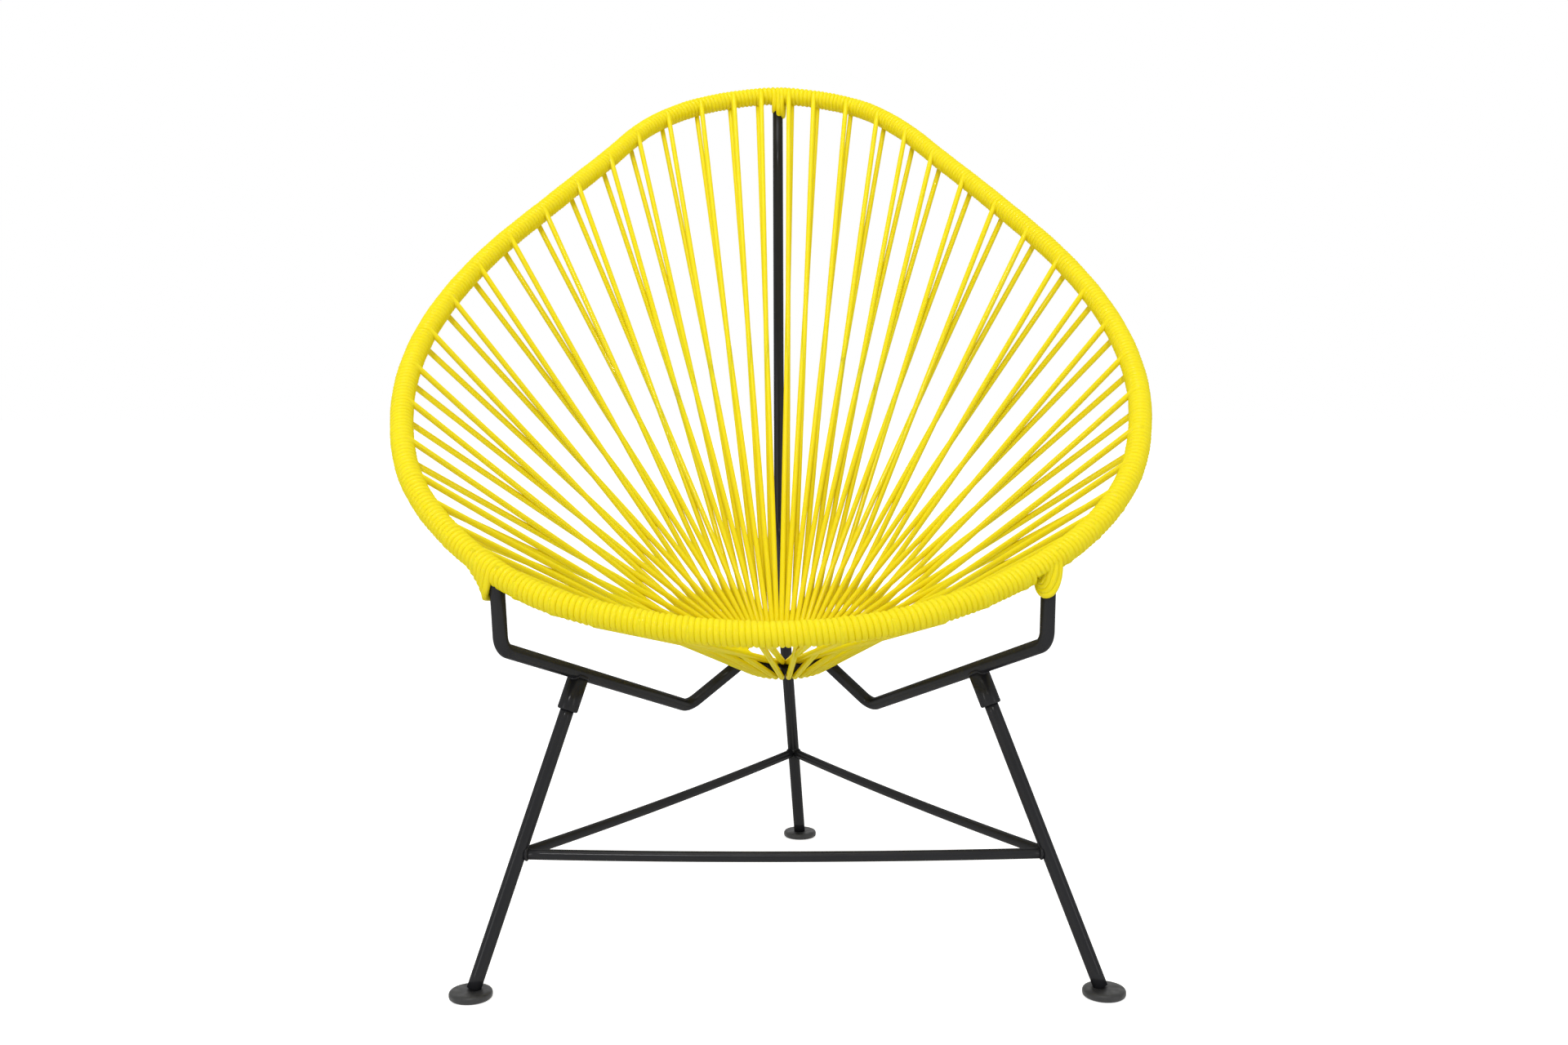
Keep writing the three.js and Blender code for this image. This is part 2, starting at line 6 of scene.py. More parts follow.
import bpy
import numpy as np
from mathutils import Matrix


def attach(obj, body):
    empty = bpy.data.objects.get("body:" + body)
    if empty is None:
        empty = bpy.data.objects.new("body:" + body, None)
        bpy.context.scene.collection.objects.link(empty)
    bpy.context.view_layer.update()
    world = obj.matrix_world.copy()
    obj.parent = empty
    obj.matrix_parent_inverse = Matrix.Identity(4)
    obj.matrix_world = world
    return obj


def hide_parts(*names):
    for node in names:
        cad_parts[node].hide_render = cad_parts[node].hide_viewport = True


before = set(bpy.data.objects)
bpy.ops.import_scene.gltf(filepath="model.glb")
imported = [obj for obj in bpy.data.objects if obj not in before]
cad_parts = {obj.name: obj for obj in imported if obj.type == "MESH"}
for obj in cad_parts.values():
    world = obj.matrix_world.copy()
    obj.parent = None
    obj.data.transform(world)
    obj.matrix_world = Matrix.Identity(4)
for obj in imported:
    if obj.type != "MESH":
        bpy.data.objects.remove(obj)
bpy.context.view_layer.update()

MM = 0.001
LEFT = -1
RIGHT = 1

# Stock, as in the solids. The hoop is drawn thinner by its play, so that it stays inside its winding. The
# cord is drawn a little thicker than it is: it flattens where it is wound on the rim, and its strands
# between rim and ring show so in the photograph.
ROD_RADIUS = 6.35 * MM
HOOP_RADIUS = 5.5 * MM
HOOP_PLAY = 0.275 * MM
RING_ROD_RADIUS = 5 * MM
STRETCHER_RADIUS = 4.75 * MM
SOCKET_RADIUS = 9.5 * MM
CORD_RADIUS = 2.75 * MM
WOUND_RADIUS = 3.15 * MM
STRUNG_RADIUS = 2.95 * MM

# Rim: a flat loop that leans back. It is bent by hand, so its halves differ by a few millimetres. Its shape
# is given from the rear to the front, half by half.
RIM_MIDDLE = 4 * MM
RIM_HALF_WIDTH = 352 * MM
RIM_LENGTH = 960 * MM
RIM_FRONT_HEIGHT = 334 * MM
RIM_SLOPE = math.radians(36.4)
LEFT_ACROSS_SHARES = (
    0, 0.17, 0.319, 0.4515, 0.574, 0.715, 0.883, 0.9745,
    1.0105, 1.0005, 0.926, 0.78, 0.5625, 0.2935, 0,
)
LEFT_ALONG_SHARES = (
    0.998, 0.9853, 0.9577, 0.908, 0.8202, 0.72, 0.5945, 0.4913,
    0.4013, 0.312, 0.2063, 0.121, 0.0494, 0.0126, 0,
)
RIGHT_ACROSS_SHARES = (
    0, 0.1687, 0.312, 0.431, 0.5585, 0.7025, 0.8645, 0.9525,
    0.987, 0.9775, 0.9035, 0.759, 0.5445, 0.2913, 0,
)
RIGHT_ALONG_SHARES = (
    0.998, 0.9842, 0.9547, 0.903, 0.8172, 0.7176, 0.5918, 0.4894,
    0.4008, 0.3131, 0.2098, 0.127, 0.0603, 0.0159, 0,
)

# Seat ring
RING_RADIUS = 48 * MM
RING_CENTRE = np.array((12, -4, 257.5)) * MM
RING_TILT = math.radians(16)

# Rods of the seat frame
LEFT_JOINT_SHARE = 0.8185
RIGHT_JOINT_SHARE = 0.8
LEFT_BEND = np.array((3, 0, -64)) * MM
RIGHT_BEND = np.array((-1, 0, -70)) * MM
LEFT_DIP = np.array((-86.5, -43, 205)) * MM
RIGHT_DIP = np.array((102, -43, 206)) * MM
ARM_RING_ANGLE = math.radians(122)
SPINE_BEND = np.array((6, 340, 345)) * MM
ARM_BEND_RADIUS = 15 * MM
SPINE_BEND_RADIUS = 28 * MM

# Sockets and legs
SOCKET_LENGTH = 29 * MM
SOCKET_LIP = 1.7 * MM
SOCKET_PLAY = 0.35 * MM
SOCKET_RECESS = 3 * MM
LEG_INSERT = 6 * MM
LEFT_SOCKET_SHARE = 0.37
RIGHT_SOCKET_SHARE = 0.352
SPINE_SOCKET_SHARE = 0.83

# Feet, whose profile is given as shares of radius and thickness from the floor upwards
FOOT_RADIUS = 19 * MM
FOOT_THICKNESS = 7 * MM
FOOT_PROFILE_SHARES = (
    (0, 0), (0.86, 0), (0.93, 0.04), (0.98, 0.16), (1, 0.34), (1, 0.6), (0.985, 0.76),
    (0.945, 0.89), (0.88, 0.965), (0.78, 1), (0.55, 1), (0.5, 1), (0, 1),
)
LEFT_FOOT = np.array((-261, -297, 0)) * MM
RIGHT_FOOT = np.array((292, -292, 0)) * MM
REAR_FOOT = np.array((31, 189, 0)) * MM

# Stretchers
FRONT_STRETCHER_HEIGHT = 118 * MM
REAR_STRETCHER_HEIGHT = 110 * MM
STRETCHER_BOW = 3 * MM

# Weld beads. A stretcher's bead wanders along the rod and swells by shares of its size, in a few waves
# round the rod that start where a seeded draw puts them.
SOCKET_BEAD = 1.3 * MM
STRETCHER_BEAD = 1.5 * MM
BEAD_SETBACK = 1.05 * ROD_RADIUS
BEAD_WAVES = (3, 7, 16)
BEAD_WANDER_SHARE = 1 / 6
BEAD_SWELL_SHARE = 1 / 7
FIRST_SEED = 21

# Cord: stations on the rim as shares of the half loop, from the rear to the front. The second strand of a
# pair trails by a turn of cord, at the first stations by part of one. The middle pairs stand either side of
# the rim's front corner.
LEFT_STATION_SHARES = (
    0.0166, 0.0445, 0.0792, 0.1192, 0.1665, 0.217, 0.271, 0.323, 0.3745, 0.4245, 0.4745, 0.522,
    0.5685, 0.613, 0.66, 0.7035, 0.7365, 0.7685, 0.801, 0.8365, 0.864, 0.893, 0.923, 0.953,
)
RIGHT_STATION_SHARES = (
    0.0112, 0.0365, 0.0712, 0.1102, 0.154, 0.2015, 0.253, 0.3045, 0.355, 0.406, 0.455, 0.503,
    0.55, 0.596, 0.643, 0.684, 0.7195, 0.7525, 0.783, 0.8215, 0.852, 0.883, 0.915, 0.9475,
)
MIDDLE_STATION = len(LEFT_STATION_SHARES)
MIDDLE_LEADS = {LEFT: -21 * MM, RIGHT: 23.8 * MM}
MIDDLE_TRAILS = {LEFT: -3.6 * MM, RIGHT: 27 * MM}
TRAIL_LENGTH = 4.4 * MM
SHORT_TRAIL_LENGTH = 3.2 * MM
SHORT_TRAILS = 3
STATIONS_PER_FAN = (5, 5, 5, 5, 4)

# Strands on the seat ring, as lengths along it. Starts count from the spine, ends and the middle pairs from
# the front. The strands under the ring are spaced evenly. Those over it are a step apart as far as the
# spread station, and spread out from there. The start over the ring on the right is negative, because the
# halves part a little to the left of the spine.
UNDER_STARTS = {LEFT: 11.4 * MM, RIGHT: 2.9 * MM}
UNDER_ENDS = {LEFT: 8 * MM, RIGHT: 10.5 * MM}
OVER_STARTS = {LEFT: 8.6 * MM, RIGHT: -3.2 * MM}
OVER_STEPS = {LEFT: 5.65 * MM, RIGHT: 5.95 * MM}
OVER_END = 7 * MM
SPREAD_STATION = 17
MIDDLE_UNDER = {LEFT: 2.2 * MM, RIGHT: 4.5 * MM}
MIDDLE_OVER = {LEFT: 1.3 * MM, RIGHT: 4.2 * MM}

# Strand ends. The leading strand of a station leaves the sitter's side of the rim and passes under the
# ring, the trailing one leaves the far side and passes over it. At the rim an end sinks into the winding
# step by step, and at the ring it swings round the rod's inner side.
LEADING = 1
TRAILING = -1
TUCK_STEP = math.radians(12)
TUCK_RISE = 0.3 * MM
TUCK_SINK = 0.15 * MM
RING_PLAY = 0.1 * MM
RING_SINK = 0.6 * MM
MIDDLE_SWING = math.radians(90)
UNDER_SWING = math.radians(75)
OVER_SWING = math.radians(125)

# Winding. Its turns stand in and out a little, by a length and a number that sets how often round the rim.
WINDING_PITCH = 5.15 * MM
WINDING_RIPPLES = ((0.1 * MM, 311), (0.07 * MM, 977))

# Lashings, turn by turn, in millimetres: how far each turn hangs down the rod and slants along the rim, and
# on the right, how deep it passes round the rod. There a turn leaves the rim and comes back at counted
# steps. On its way the first share is how far it has swung towards the knuckle turn, and the second one how
# much of its depth it has there. Each lashing ends a counted number of turns past the middle of its joint.
HANG_BULGE_SHARE = 0.2
REAR_HANGS = ((18, 0), (19, 0), (12, 1))
LEFT_HANGS = ((1, 0), (4, 0), (7, -1), (10, -3), (14, -6), (18, -10))
RIGHT_DEPTHS = (8, 12.5, 17, 21, 24.5, 27.5)
KNUCKLE_SHARES = (
    (0.08, 0.4), (0.27, 0.74), (0.5, 0.95), (0.76, 1), (1.02, 0.88), (1.25, 0.66), (1.5, 0.45),
)
KNUCKLE_TURN = math.radians(182)
KNUCKLE_PLAY = 0.2 * MM
KNUCKLE_LEAVES = 3
KNUCKLE_RETURNS = 11
LEFT_TURNS_PAST = 1
RIGHT_TURNS_PAST = 2
REAR_TURNS_PAST = 1

# Fineness: sides of round pieces, and steps along their lines
ROD_SIDES = 28
STRETCHER_SIDES = 24
RING_SIDES = 20
HOOP_SIDES = 16
SOCKET_SIDES = 40
FOOT_SIDES = 64
BEAD_SIDES = 10
WOUND_SIDES = 14
STRUNG_SIDES = 12
RIM_STEPS = 60
HOOP_STEPS = 360
RING_STEPS = 96
BEND_STEPS = 14
STRAIGHT_STEPS = 6
LEG_STEPS = 20
STRETCHER_STEPS = 24
LIP_STEPS = 4
BEAD_STEPS = 48
TURN_STEPS = 16
KNUCKLE_STEPS = 3
TUCK_STEPS = 9
STRAND_STEPS = 14
SWING_STEPS = 10
TANGENT_SHARE = 0.0008

# Finishes: what each material's shader is given, how far the roughness varies either way, and how high the
# surface's bumps are
CORD_COLOUR = (0.89, 0.743, 0.012)
CORD_SHADE = (0.875, 0.725, 0.009)
CORD_FINISH = {
    "Base Color": (*CORD_COLOUR, 1),
    "Roughness": 0.255,
    "Specular IOR Level": 0,
    "Coat Weight": 0.085,
    "Coat IOR": 2.2,
    "Coat Roughness": 0.12,
    "Subsurface Weight": 0.3,
    "Subsurface Radius": (1, 0.8, 0.1),
    "Subsurface Scale": 2.5 * MM,
}
CORD_ROUGHNESS_SPREAD = 0.025
CORD_BUMP = 0.1 * MM
FRAME_COLOUR = (0.018, 0.0182, 0.0205)
FRAME_SHADE = (0.0145, 0.0147, 0.0165)
FRAME_FINISH = {
    "Base Color": (*FRAME_COLOUR, 1),
    "Roughness": 0.39,
    "Specular IOR Level": 0,
    "Coat Weight": 0.12,
    "Coat IOR": 1.9,
    "Coat Roughness": 0.22,
}
FRAME_ROUGHNESS_SPREAD = 0.05
FRAME_BUMP = 0.12 * MM
FOOT_COLOUR = (0.011, 0.011, 0.0112)
FOOT_FINISH = {"Base Color": (*FOOT_COLOUR, 1), "Roughness": 0.52}
FOOT_ROUGHNESS_SPREAD = 0.1
FOOT_BUMP = 0.1 * MM
NOISE_LOW = 0.3
NOISE_HIGH = 0.7

# Studio: a grey floor that glows for rays that look for the background, a white sky that is dimmer as a
# lamp than as a background, and lamps with their place, target and size in metres and their power in watts
FLOOR_REACH = 30
FLOOR_DROP = 0.2 * MM
FLOOR_GREY = (0.74, 0.74, 0.74, 1)
FLOOR_GLOW = 0.7
SKY_WHITE = (1, 1, 1, 1)
SKY_LIGHT = 0.6
SKY_SEEN = 1
LAMPS = (
    ("key", (-0.7, -5.3, 4.3), (0, 0, 0.5), (0.4, 0.4), 84),
    ("fill", (3.6, -3.4, 2.4), (0, 0, 0.5), (2.4, 2.4), 8),
    ("top", (-0.4, -0.9, 3.5), (0, 0.4, 0.8), (1.6, 1.6), 32),
    ("left", (-4.2, -3.8, 1.1), (0, 0, 0.5), (0.5, 1.8), 34),
    ("right", (4.2, -3.8, 1.1), (0, 0, 0.5), (0.3, 1.8), 18),
)

# Photograph's camera
LENS = 34.69
SENSOR = 36
CAMERA_PLACE = np.array((12, -1575, 523)) * MM
CAMERA_PITCH = math.radians(85.2)

camera_data = bpy.data.cameras.new("camera")
camera_data.lens = LENS
camera_data.sensor_width = SENSOR
camera = bpy.data.objects.new("camera", camera_data)
camera.location = CAMERA_PLACE
camera.rotation_euler = (CAMERA_PITCH, 0, 0)
bpy.context.collection.objects.link(camera)
bpy.context.scene.camera = camera


# Vectors

def unit(vector):
    return vector / np.linalg.norm(vector)


def mix(start, end, share):
    return start + (end - start) * share


def square_to(axis):
    """Two directions square to an axis and to each other."""
    helper = np.eye(3)[np.argmin(np.abs(axis))]
    first = unit(np.cross(axis, helper))
    return first, np.cross(axis, first)


# Meshes

def add_mesh(name, vertices, faces, material, slot, replaced=()):
    mesh = bpy.data.meshes.new(name)
    mesh.from_pydata([tuple(vertex) for vertex in vertices], [], faces)
    mesh.polygons.foreach_set("use_smooth", [True] * len(mesh.polygons))
    mesh.materials.append(material)
    mesh.update()
    piece = bpy.data.objects.new(name, mesh)
    bpy.context.collection.objects.link(piece)
    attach(piece, "root")
    if replaced:
        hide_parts(*replaced)


def sweep(points, radius, sides, closed=False):
    """A round bar along points; radius is one value, or one for each point."""
    points = np.asarray(points, dtype=float)
    count = len(points)
    radii = np.broadcast_to(np.asarray(radius, dtype=float), (count,))
    if closed:
        tangents = np.roll(points, -1, axis=0) - np.roll(points, 1, axis=0)
    else:
        tangents = np.gradient(points, axis=0)
    tangents /= np.linalg.norm(tangents, axis=1)[:, None]
    normal, _ = square_to(tangents[0])
    normals = []
    for tangent in tangents:
        normal = unit(normal - tangent * (normal @ tangent))
        normals.append(normal)
    normals = np.array(normals)
    if closed:
        normals = untwisted(normals, tangents)
    binormals = np.cross(tangents, normals)
    angles = np.linspace(0, 2 * math.pi, sides, endpoint=False)
    ring = (
        normals[:, None, :] * np.cos(angles)[None, :, None]
        + binormals[:, None, :] * np.sin(angles)[None, :, None]
    )
    vertices = (points[:, None, :] + ring * radii[:, None, None]).reshape(-1, 3)
    faces = []
    for near in range(count if closed else count - 1):
        near_start = near * sides
        far_start = (near + 1) % count * sides
        for side in range(sides):
            after = (side + 1) % sides
            faces.append((near_start + side, near_start + after, far_start + after, far_start + side))
    if not closed:
        faces.append(tuple(reversed(range(sides))))
        faces.append(tuple(range((count - 1) * sides, count * sides)))
    return vertices, faces


def untwisted(normals, tangents):
    """Turns the frames a little at each step, so that a closed bar's last frame meets its first."""
    carried = unit(normals[-1] - tangents[0] * (normals[-1] @ tangents[0]))
    sine = np.cross(carried, normals[0]) @ tangents[0]
    angle = math.atan2(sine, carried @ normals[0])
    turned = []
    for index, (normal, tangent) in enumerate(zip(normals, tangents)):
        share = angle * index / len(normals)
        turned.append(normal * math.cos(share) + np.cross(tangent, normal) * math.sin(share))
    return np.array(turned)


def joined(parts):
    """Several meshes as one."""
    vertices = []
    faces = []
    for part_vertices, part_faces in parts:
        start = len(vertices)
        vertices.extend(part_vertices)
        faces.extend(tuple(index + start for index in face) for face in part_faces)
    return vertices, faces


def turned_profile(profile, place, axis, sides):
    """A solid of revolution: profile lists (radius, distance along the axis), ending at radius 0."""
    axis = unit(np.asarray(axis, dtype=float))
    first, second = square_to(axis)
    angles = np.linspace(0, 2 * math.pi, sides, endpoint=False)
    vertices = []
    rings = []
    for radius, along in profile:
        start = len(vertices)
        if radius == 0:
            vertices.append(place + axis * along)
            rings.append([start] * sides)
        else:
            for angle in angles:
                spoke = first * math.cos(angle) + second * math.sin(angle)
                vertices.append(place + axis * along + spoke * radius)
            rings.append(list(range(start, start + sides)))
    faces = []
    for near, far in zip(rings, rings[1:]):
        for side in range(sides):
            after = (side + 1) % sides
            face = (near[side], near[after], far[after], far[side])
            faces.append(tuple(dict.fromkeys(face)))
    return vertices, faces


def straight_points(start, end, steps):
    return [mix(start, end, step / steps) for step in range(steps + 1)]


def bent_rod(corners, radius):
    """Centreline of a rod through corners, each corner an arc."""
    points = [corners[0]]
    for index in range(1, len(corners) - 1):
        corner = corners[index]
        back = unit(corners[index - 1] - corner)
        ahead = unit(corners[index + 1] - corner)
        half = math.acos(float(back @ ahead)) / 2
        setback = radius / math.tan(half)
        centre = corner + unit(back + ahead) * radius / math.sin(half)
        first = corner + back * setback - centre
        last = corner + ahead * setback - centre
        swing = math.pi - 2 * half
        points.extend(straight_points(points[-1], centre + first, STRAIGHT_STEPS)[1:])
        for step in range(1, BEND_STEPS + 1):
            share = step / BEND_STEPS
            blend = first * math.sin((1 - share) * swing) + last * math.sin(share * swing)
            points.append(centre + blend / math.sin(swing))
    points.extend(straight_points(points[-1], corners[-1], STRAIGHT_STEPS)[1:])
    return points


# Materials

def shader_of(material):
    return material.node_tree.nodes["Principled BSDF"]


def new_material(name, finish):
    material = bpy.data.materials.new(name)
    material.use_nodes = True
    for socket, value in finish.items():
        shader_of(material).inputs[socket].default_value = value
    return material


def noise(material, scale, detail):
    tree = material.node_tree
    coordinates = tree.nodes.new("ShaderNodeTexCoord")
    texture = tree.nodes.new("ShaderNodeTexNoise")
    texture.inputs["Scale"].default_value = scale
    texture.inputs["Detail"].default_value = detail
    tree.links.new(coordinates.outputs["Object"], texture.inputs["Vector"])
    return texture.outputs["Fac"]


def varied_colour(material, factor, dark, light):
    tree = material.node_tree
    ramp = tree.nodes.new("ShaderNodeValToRGB")
    ramp.color_ramp.elements[0].position = NOISE_LOW
    ramp.color_ramp.elements[0].color = (*dark, 1)
    ramp.color_ramp.elements[1].position = NOISE_HIGH
    ramp.color_ramp.elements[1].color = (*light, 1)
    tree.links.new(factor, ramp.inputs["Fac"])
    tree.links.new(ramp.outputs["Color"], shader_of(material).inputs["Base Color"])


def varied_roughness(material, factor, spread):
    """Varies the shader's roughness by a spread either way."""
    tree = material.node_tree
    roughness = shader_of(material).inputs["Roughness"]
    mapped = tree.nodes.new("ShaderNodeMapRange")
    mapped.inputs["From Min"].default_value = NOISE_LOW
    mapped.inputs["From Max"].default_value = NOISE_HIGH
    mapped.inputs["To Min"].default_value = roughness.default_value - spread
    mapped.inputs["To Max"].default_value = roughness.default_value + spread
    tree.links.new(factor, mapped.inputs["Value"])
    tree.links.new(mapped.outputs["Result"], roughness)


def bumped(material, factor, strength, distance):
    tree = material.node_tree
    bump = tree.nodes.new("ShaderNodeBump")
    bump.inputs["Strength"].default_value = strength
    bump.inputs["Distance"].default_value = distance
    tree.links.new(factor, bump.inputs["Height"])
    tree.links.new(bump.outputs["Normal"], shader_of(material).inputs["Normal"])


cord_material = new_material("vinyl_cord", CORD_FINISH)
varied_colour(cord_material, noise(cord_material, scale=30, detail=2), CORD_SHADE, CORD_COLOUR)
varied_roughness(cord_material, noise(cord_material, scale=60, detail=2), CORD_ROUGHNESS_SPREAD)
bumped(cord_material, noise(cord_material, scale=90, detail=1), strength=0.03, distance=CORD_BUMP)

frame_material = new_material("powder_coat", FRAME_FINISH)
varied_colour(frame_material, noise(frame_material, scale=26, detail=4), FRAME_SHADE, FRAME_COLOUR)
varied_roughness(frame_material, noise(frame_material, scale=90, detail=5), FRAME_ROUGHNESS_SPREAD)
bumped(frame_material, noise(frame_material, scale=1100, detail=3), strength=0.2, distance=FRAME_BUMP)

foot_material = new_material("foot_plastic", FOOT_FINISH)
varied_roughness(foot_material, noise(foot_material, scale=160, detail=5), FOOT_ROUGHNESS_SPREAD)
bumped(foot_material, noise(foot_material, scale=1500, detail=3), strength=0.25, distance=FOOT_BUMP)


# Rim centreline

RIM_FORWARD = np.array((0, math.cos(RIM_SLOPE), math.sin(RIM_SLOPE)))
RIM_NORMAL = np.array((0, -math.sin(RIM_SLOPE), math.cos(RIM_SLOPE)))
RIM_FRONT = np.array((RIM_MIDDLE, -RIM_LENGTH * math.cos(RIM_SLOPE) / 2, RIM_FRONT_HEIGHT))


def rim_corners(across_shares, along_shares, side):
    corners = []
    for across, along in zip(across_shares, along_shares):
        corner = RIM_FRONT + RIM_FORWARD * RIM_LENGTH * along
        corners.append(corner + np.array((side * RIM_HALF_WIDTH * across, 0, 0)))
    return corners


def curve_point(start, end, leaving, arriving, share):
    """Point of a cubic curve that is given by its ends and how fast it leaves and arrives."""
    bend = 3 * (end - start) - 2 * leaving - arriving
    twist = 2 * (start - end) + leaving + arriving
    return start + leaving * share + bend * share ** 2 + twist * share ** 3


def spline(corners, steps):
    """Centripetal spline from the second of a row of corners up to the last but one."""
    points = []
    for before, start, end, after in zip(corners, corners[1:], corners[2:], corners[3:]):
        gap_before = math.sqrt(np.linalg.norm(start - before))
        gap = math.sqrt(np.linalg.norm(end - start))
        gap_after = math.sqrt(np.linalg.norm(after - end))
        middle = (end - start) / gap
        leaving = (start - before) / gap_before - (end - before) / (gap_before + gap) + middle
        arriving = middle - (after - start) / (gap + gap_after) + (after - end) / gap_after
        for step in range(steps):
            points.append(curve_point(start, end, leaving * gap, arriving * gap, step / steps))
    return np.array(points)


left_corners = rim_corners(LEFT_ACROSS_SHARES, LEFT_ALONG_SHARES, LEFT)
right_corners = rim_corners(RIGHT_ACROSS_SHARES, RIGHT_ALONG_SHARES, RIGHT)[1:-1]
rim_loop_corners = left_corners + right_corners[::-1]
rim_points = spline([rim_loop_corners[-1], *rim_loop_corners, *rim_loop_corners[:2]], RIM_STEPS)
rim_points = np.vstack([rim_points, rim_points[:1]])
rim_arc = np.concatenate([[0], np.cumsum(np.linalg.norm(np.diff(rim_points, axis=0), axis=1))])
RIM_LOOP = float(rim_arc[-1])
FRONT_PLACE = float(rim_arc[(len(left_corners) - 1) * RIM_STEPS]) / RIM_LOOP


def rim_centre(place):
    """Point of the rim's centreline. Place runs from 0 at the rear, left side first, to 1 at the rear."""
    along = (place % 1) * RIM_LOOP
    return np.array([np.interp(along, rim_arc, rim_points[:, axis]) for axis in range(3)])


def rim_tangent(place):
    return unit(rim_centre(place + TANGENT_SHARE) - rim_centre(place - TANGENT_SHARE))


def rim_outward(place):
    return np.cross(rim_tangent(place), RIM_NORMAL)


def place_of(share, side):
    return share / 2 if side == LEFT else 1 - share / 2


# Seat ring: the angle runs from 0 at the rear to half a turn at the front, on either side

RING_REARWARD = np.array((0, math.cos(RING_TILT), math.sin(RING_TILT)))
RING_NORMAL = np.array((0, -math.sin(RING_TILT), math.cos(RING_TILT)))


def ring_outward(angle, side):
    outward = RING_REARWARD * math.cos(angle)
    outward[0] = side * math.sin(angle)
    return outward


def ring_centre(angle, side):
    return RING_CENTRE + ring_outward(angle, side) * RING_RADIUS


def ring_tangent(angle, side):
    return np.cross(RING_NORMAL, ring_outward(angle, side))


# Seat frame rods

def rod_between(joint, bends, end):
    start = joint + unit(bends[0] - joint) * HOOP_RADIUS / 2
    finish = end + unit(bends[-1] - end) * RING_ROD_RADIUS / 2
    return [start, *bends, finish]


def arm_corners(place, side, bend, dip):
    joint = rim_centre(place)
    return rod_between(joint, [joint + bend, dip], ring_centre(ARM_RING_ANGLE, side))


left_arm_place = place_of(LEFT_JOINT_SHARE, LEFT)
right_arm_place = place_of(RIGHT_JOINT_SHARE, RIGHT)
left_arm = arm_corners(left_arm_place, LEFT, LEFT_BEND, LEFT_DIP)
right_arm = arm_corners(right_arm_place, RIGHT, RIGHT_BEND, RIGHT_DIP)
spine = rod_between(rim_centre(0), [SPINE_BEND], ring_centre(0, RIGHT))


def add_frame_piece(name, shape, replaced=()):
    add_mesh(name, *shape, frame_material, "frame_black", replaced)


hoop_line = [rim_centre(step / HOOP_STEPS) for step in range(HOOP_STEPS)]
hoop_shape = sweep(hoop_line, HOOP_RADIUS - HOOP_PLAY, HOOP_SIDES, closed=True)
add_frame_piece("rim_hoop_rod", hoop_shape, ("rim_hoop",))
ring_line = [ring_centre(2 * math.pi * step / RING_STEPS, RIGHT) for step in range(RING_STEPS)]
ring_shape = sweep(ring_line, RING_ROD_RADIUS, RING_SIDES, closed=True)
add_frame_piece("seat_ring_rod", ring_shape, ("seat_ring",))
bent_rods = (
    ("left_arm_rod", left_arm, ARM_BEND_RADIUS, "front_left_arm"),
    ("right_arm_rod", right_arm, ARM_BEND_RADIUS, "front_right_arm"),
    ("spine_rod", spine, SPINE_BEND_RADIUS, "rear_spine"),
)
for name, corners, bend_radius, replaced in bent_rods:
    add_frame_piece(name, sweep(bent_rod(corners, bend_radius), ROD_RADIUS, ROD_SIDES), (replaced,))


# Sockets, legs and feet

def socket_bead(top, down, along):
    """Line of the weld between a socket's upper edge and the rod that it hangs from."""
    along = unit(along)
    lean = float(along @ down)
    first = unit(along - down * lean)
    second = np.cross(down, first)
    points = []
    for step in range(BEAD_STEPS):
        angle = 2 * math.pi * step / BEAD_STEPS
        across = SOCKET_RADIUS * math.sin(angle)
        depth = math.sqrt(max(ROD_RADIUS ** 2 - across ** 2, 0))
        drop = (depth + SOCKET_RADIUS * math.cos(angle) * lean) / math.sqrt(1 - lean ** 2)
        spoke = first * math.cos(angle) + second * math.sin(angle)
        edge = top + spoke * (SOCKET_RADIUS - SOCKET_BEAD / 2)
        points.append(edge + down * max(drop, ROD_RADIUS / 2))
    return points


SOCKET_BOTTOM = ROD_RADIUS + SOCKET_LENGTH


def socket_profile():
    """Radius and depth below the rod of a tube with a rounded lip, and a recess that takes the leg."""
    profile = [(0, ROD_RADIUS / 2), (SOCKET_RADIUS, ROD_RADIUS / 2)]
    for step in range(LIP_STEPS + 1):
        angle = math.pi / 2 * step / LIP_STEPS
        radius = SOCKET_RADIUS - SOCKET_LIP * (1 - math.cos(angle))
        profile.append((radius, SOCKET_BOTTOM - SOCKET_LIP * (1 - math.sin(angle))))
    bore = ROD_RADIUS + SOCKET_PLAY
    recess = SOCKET_BOTTOM - SOCKET_RECESS
    return [*profile, (bore, SOCKET_BOTTOM), (bore, recess), (0, recess)]


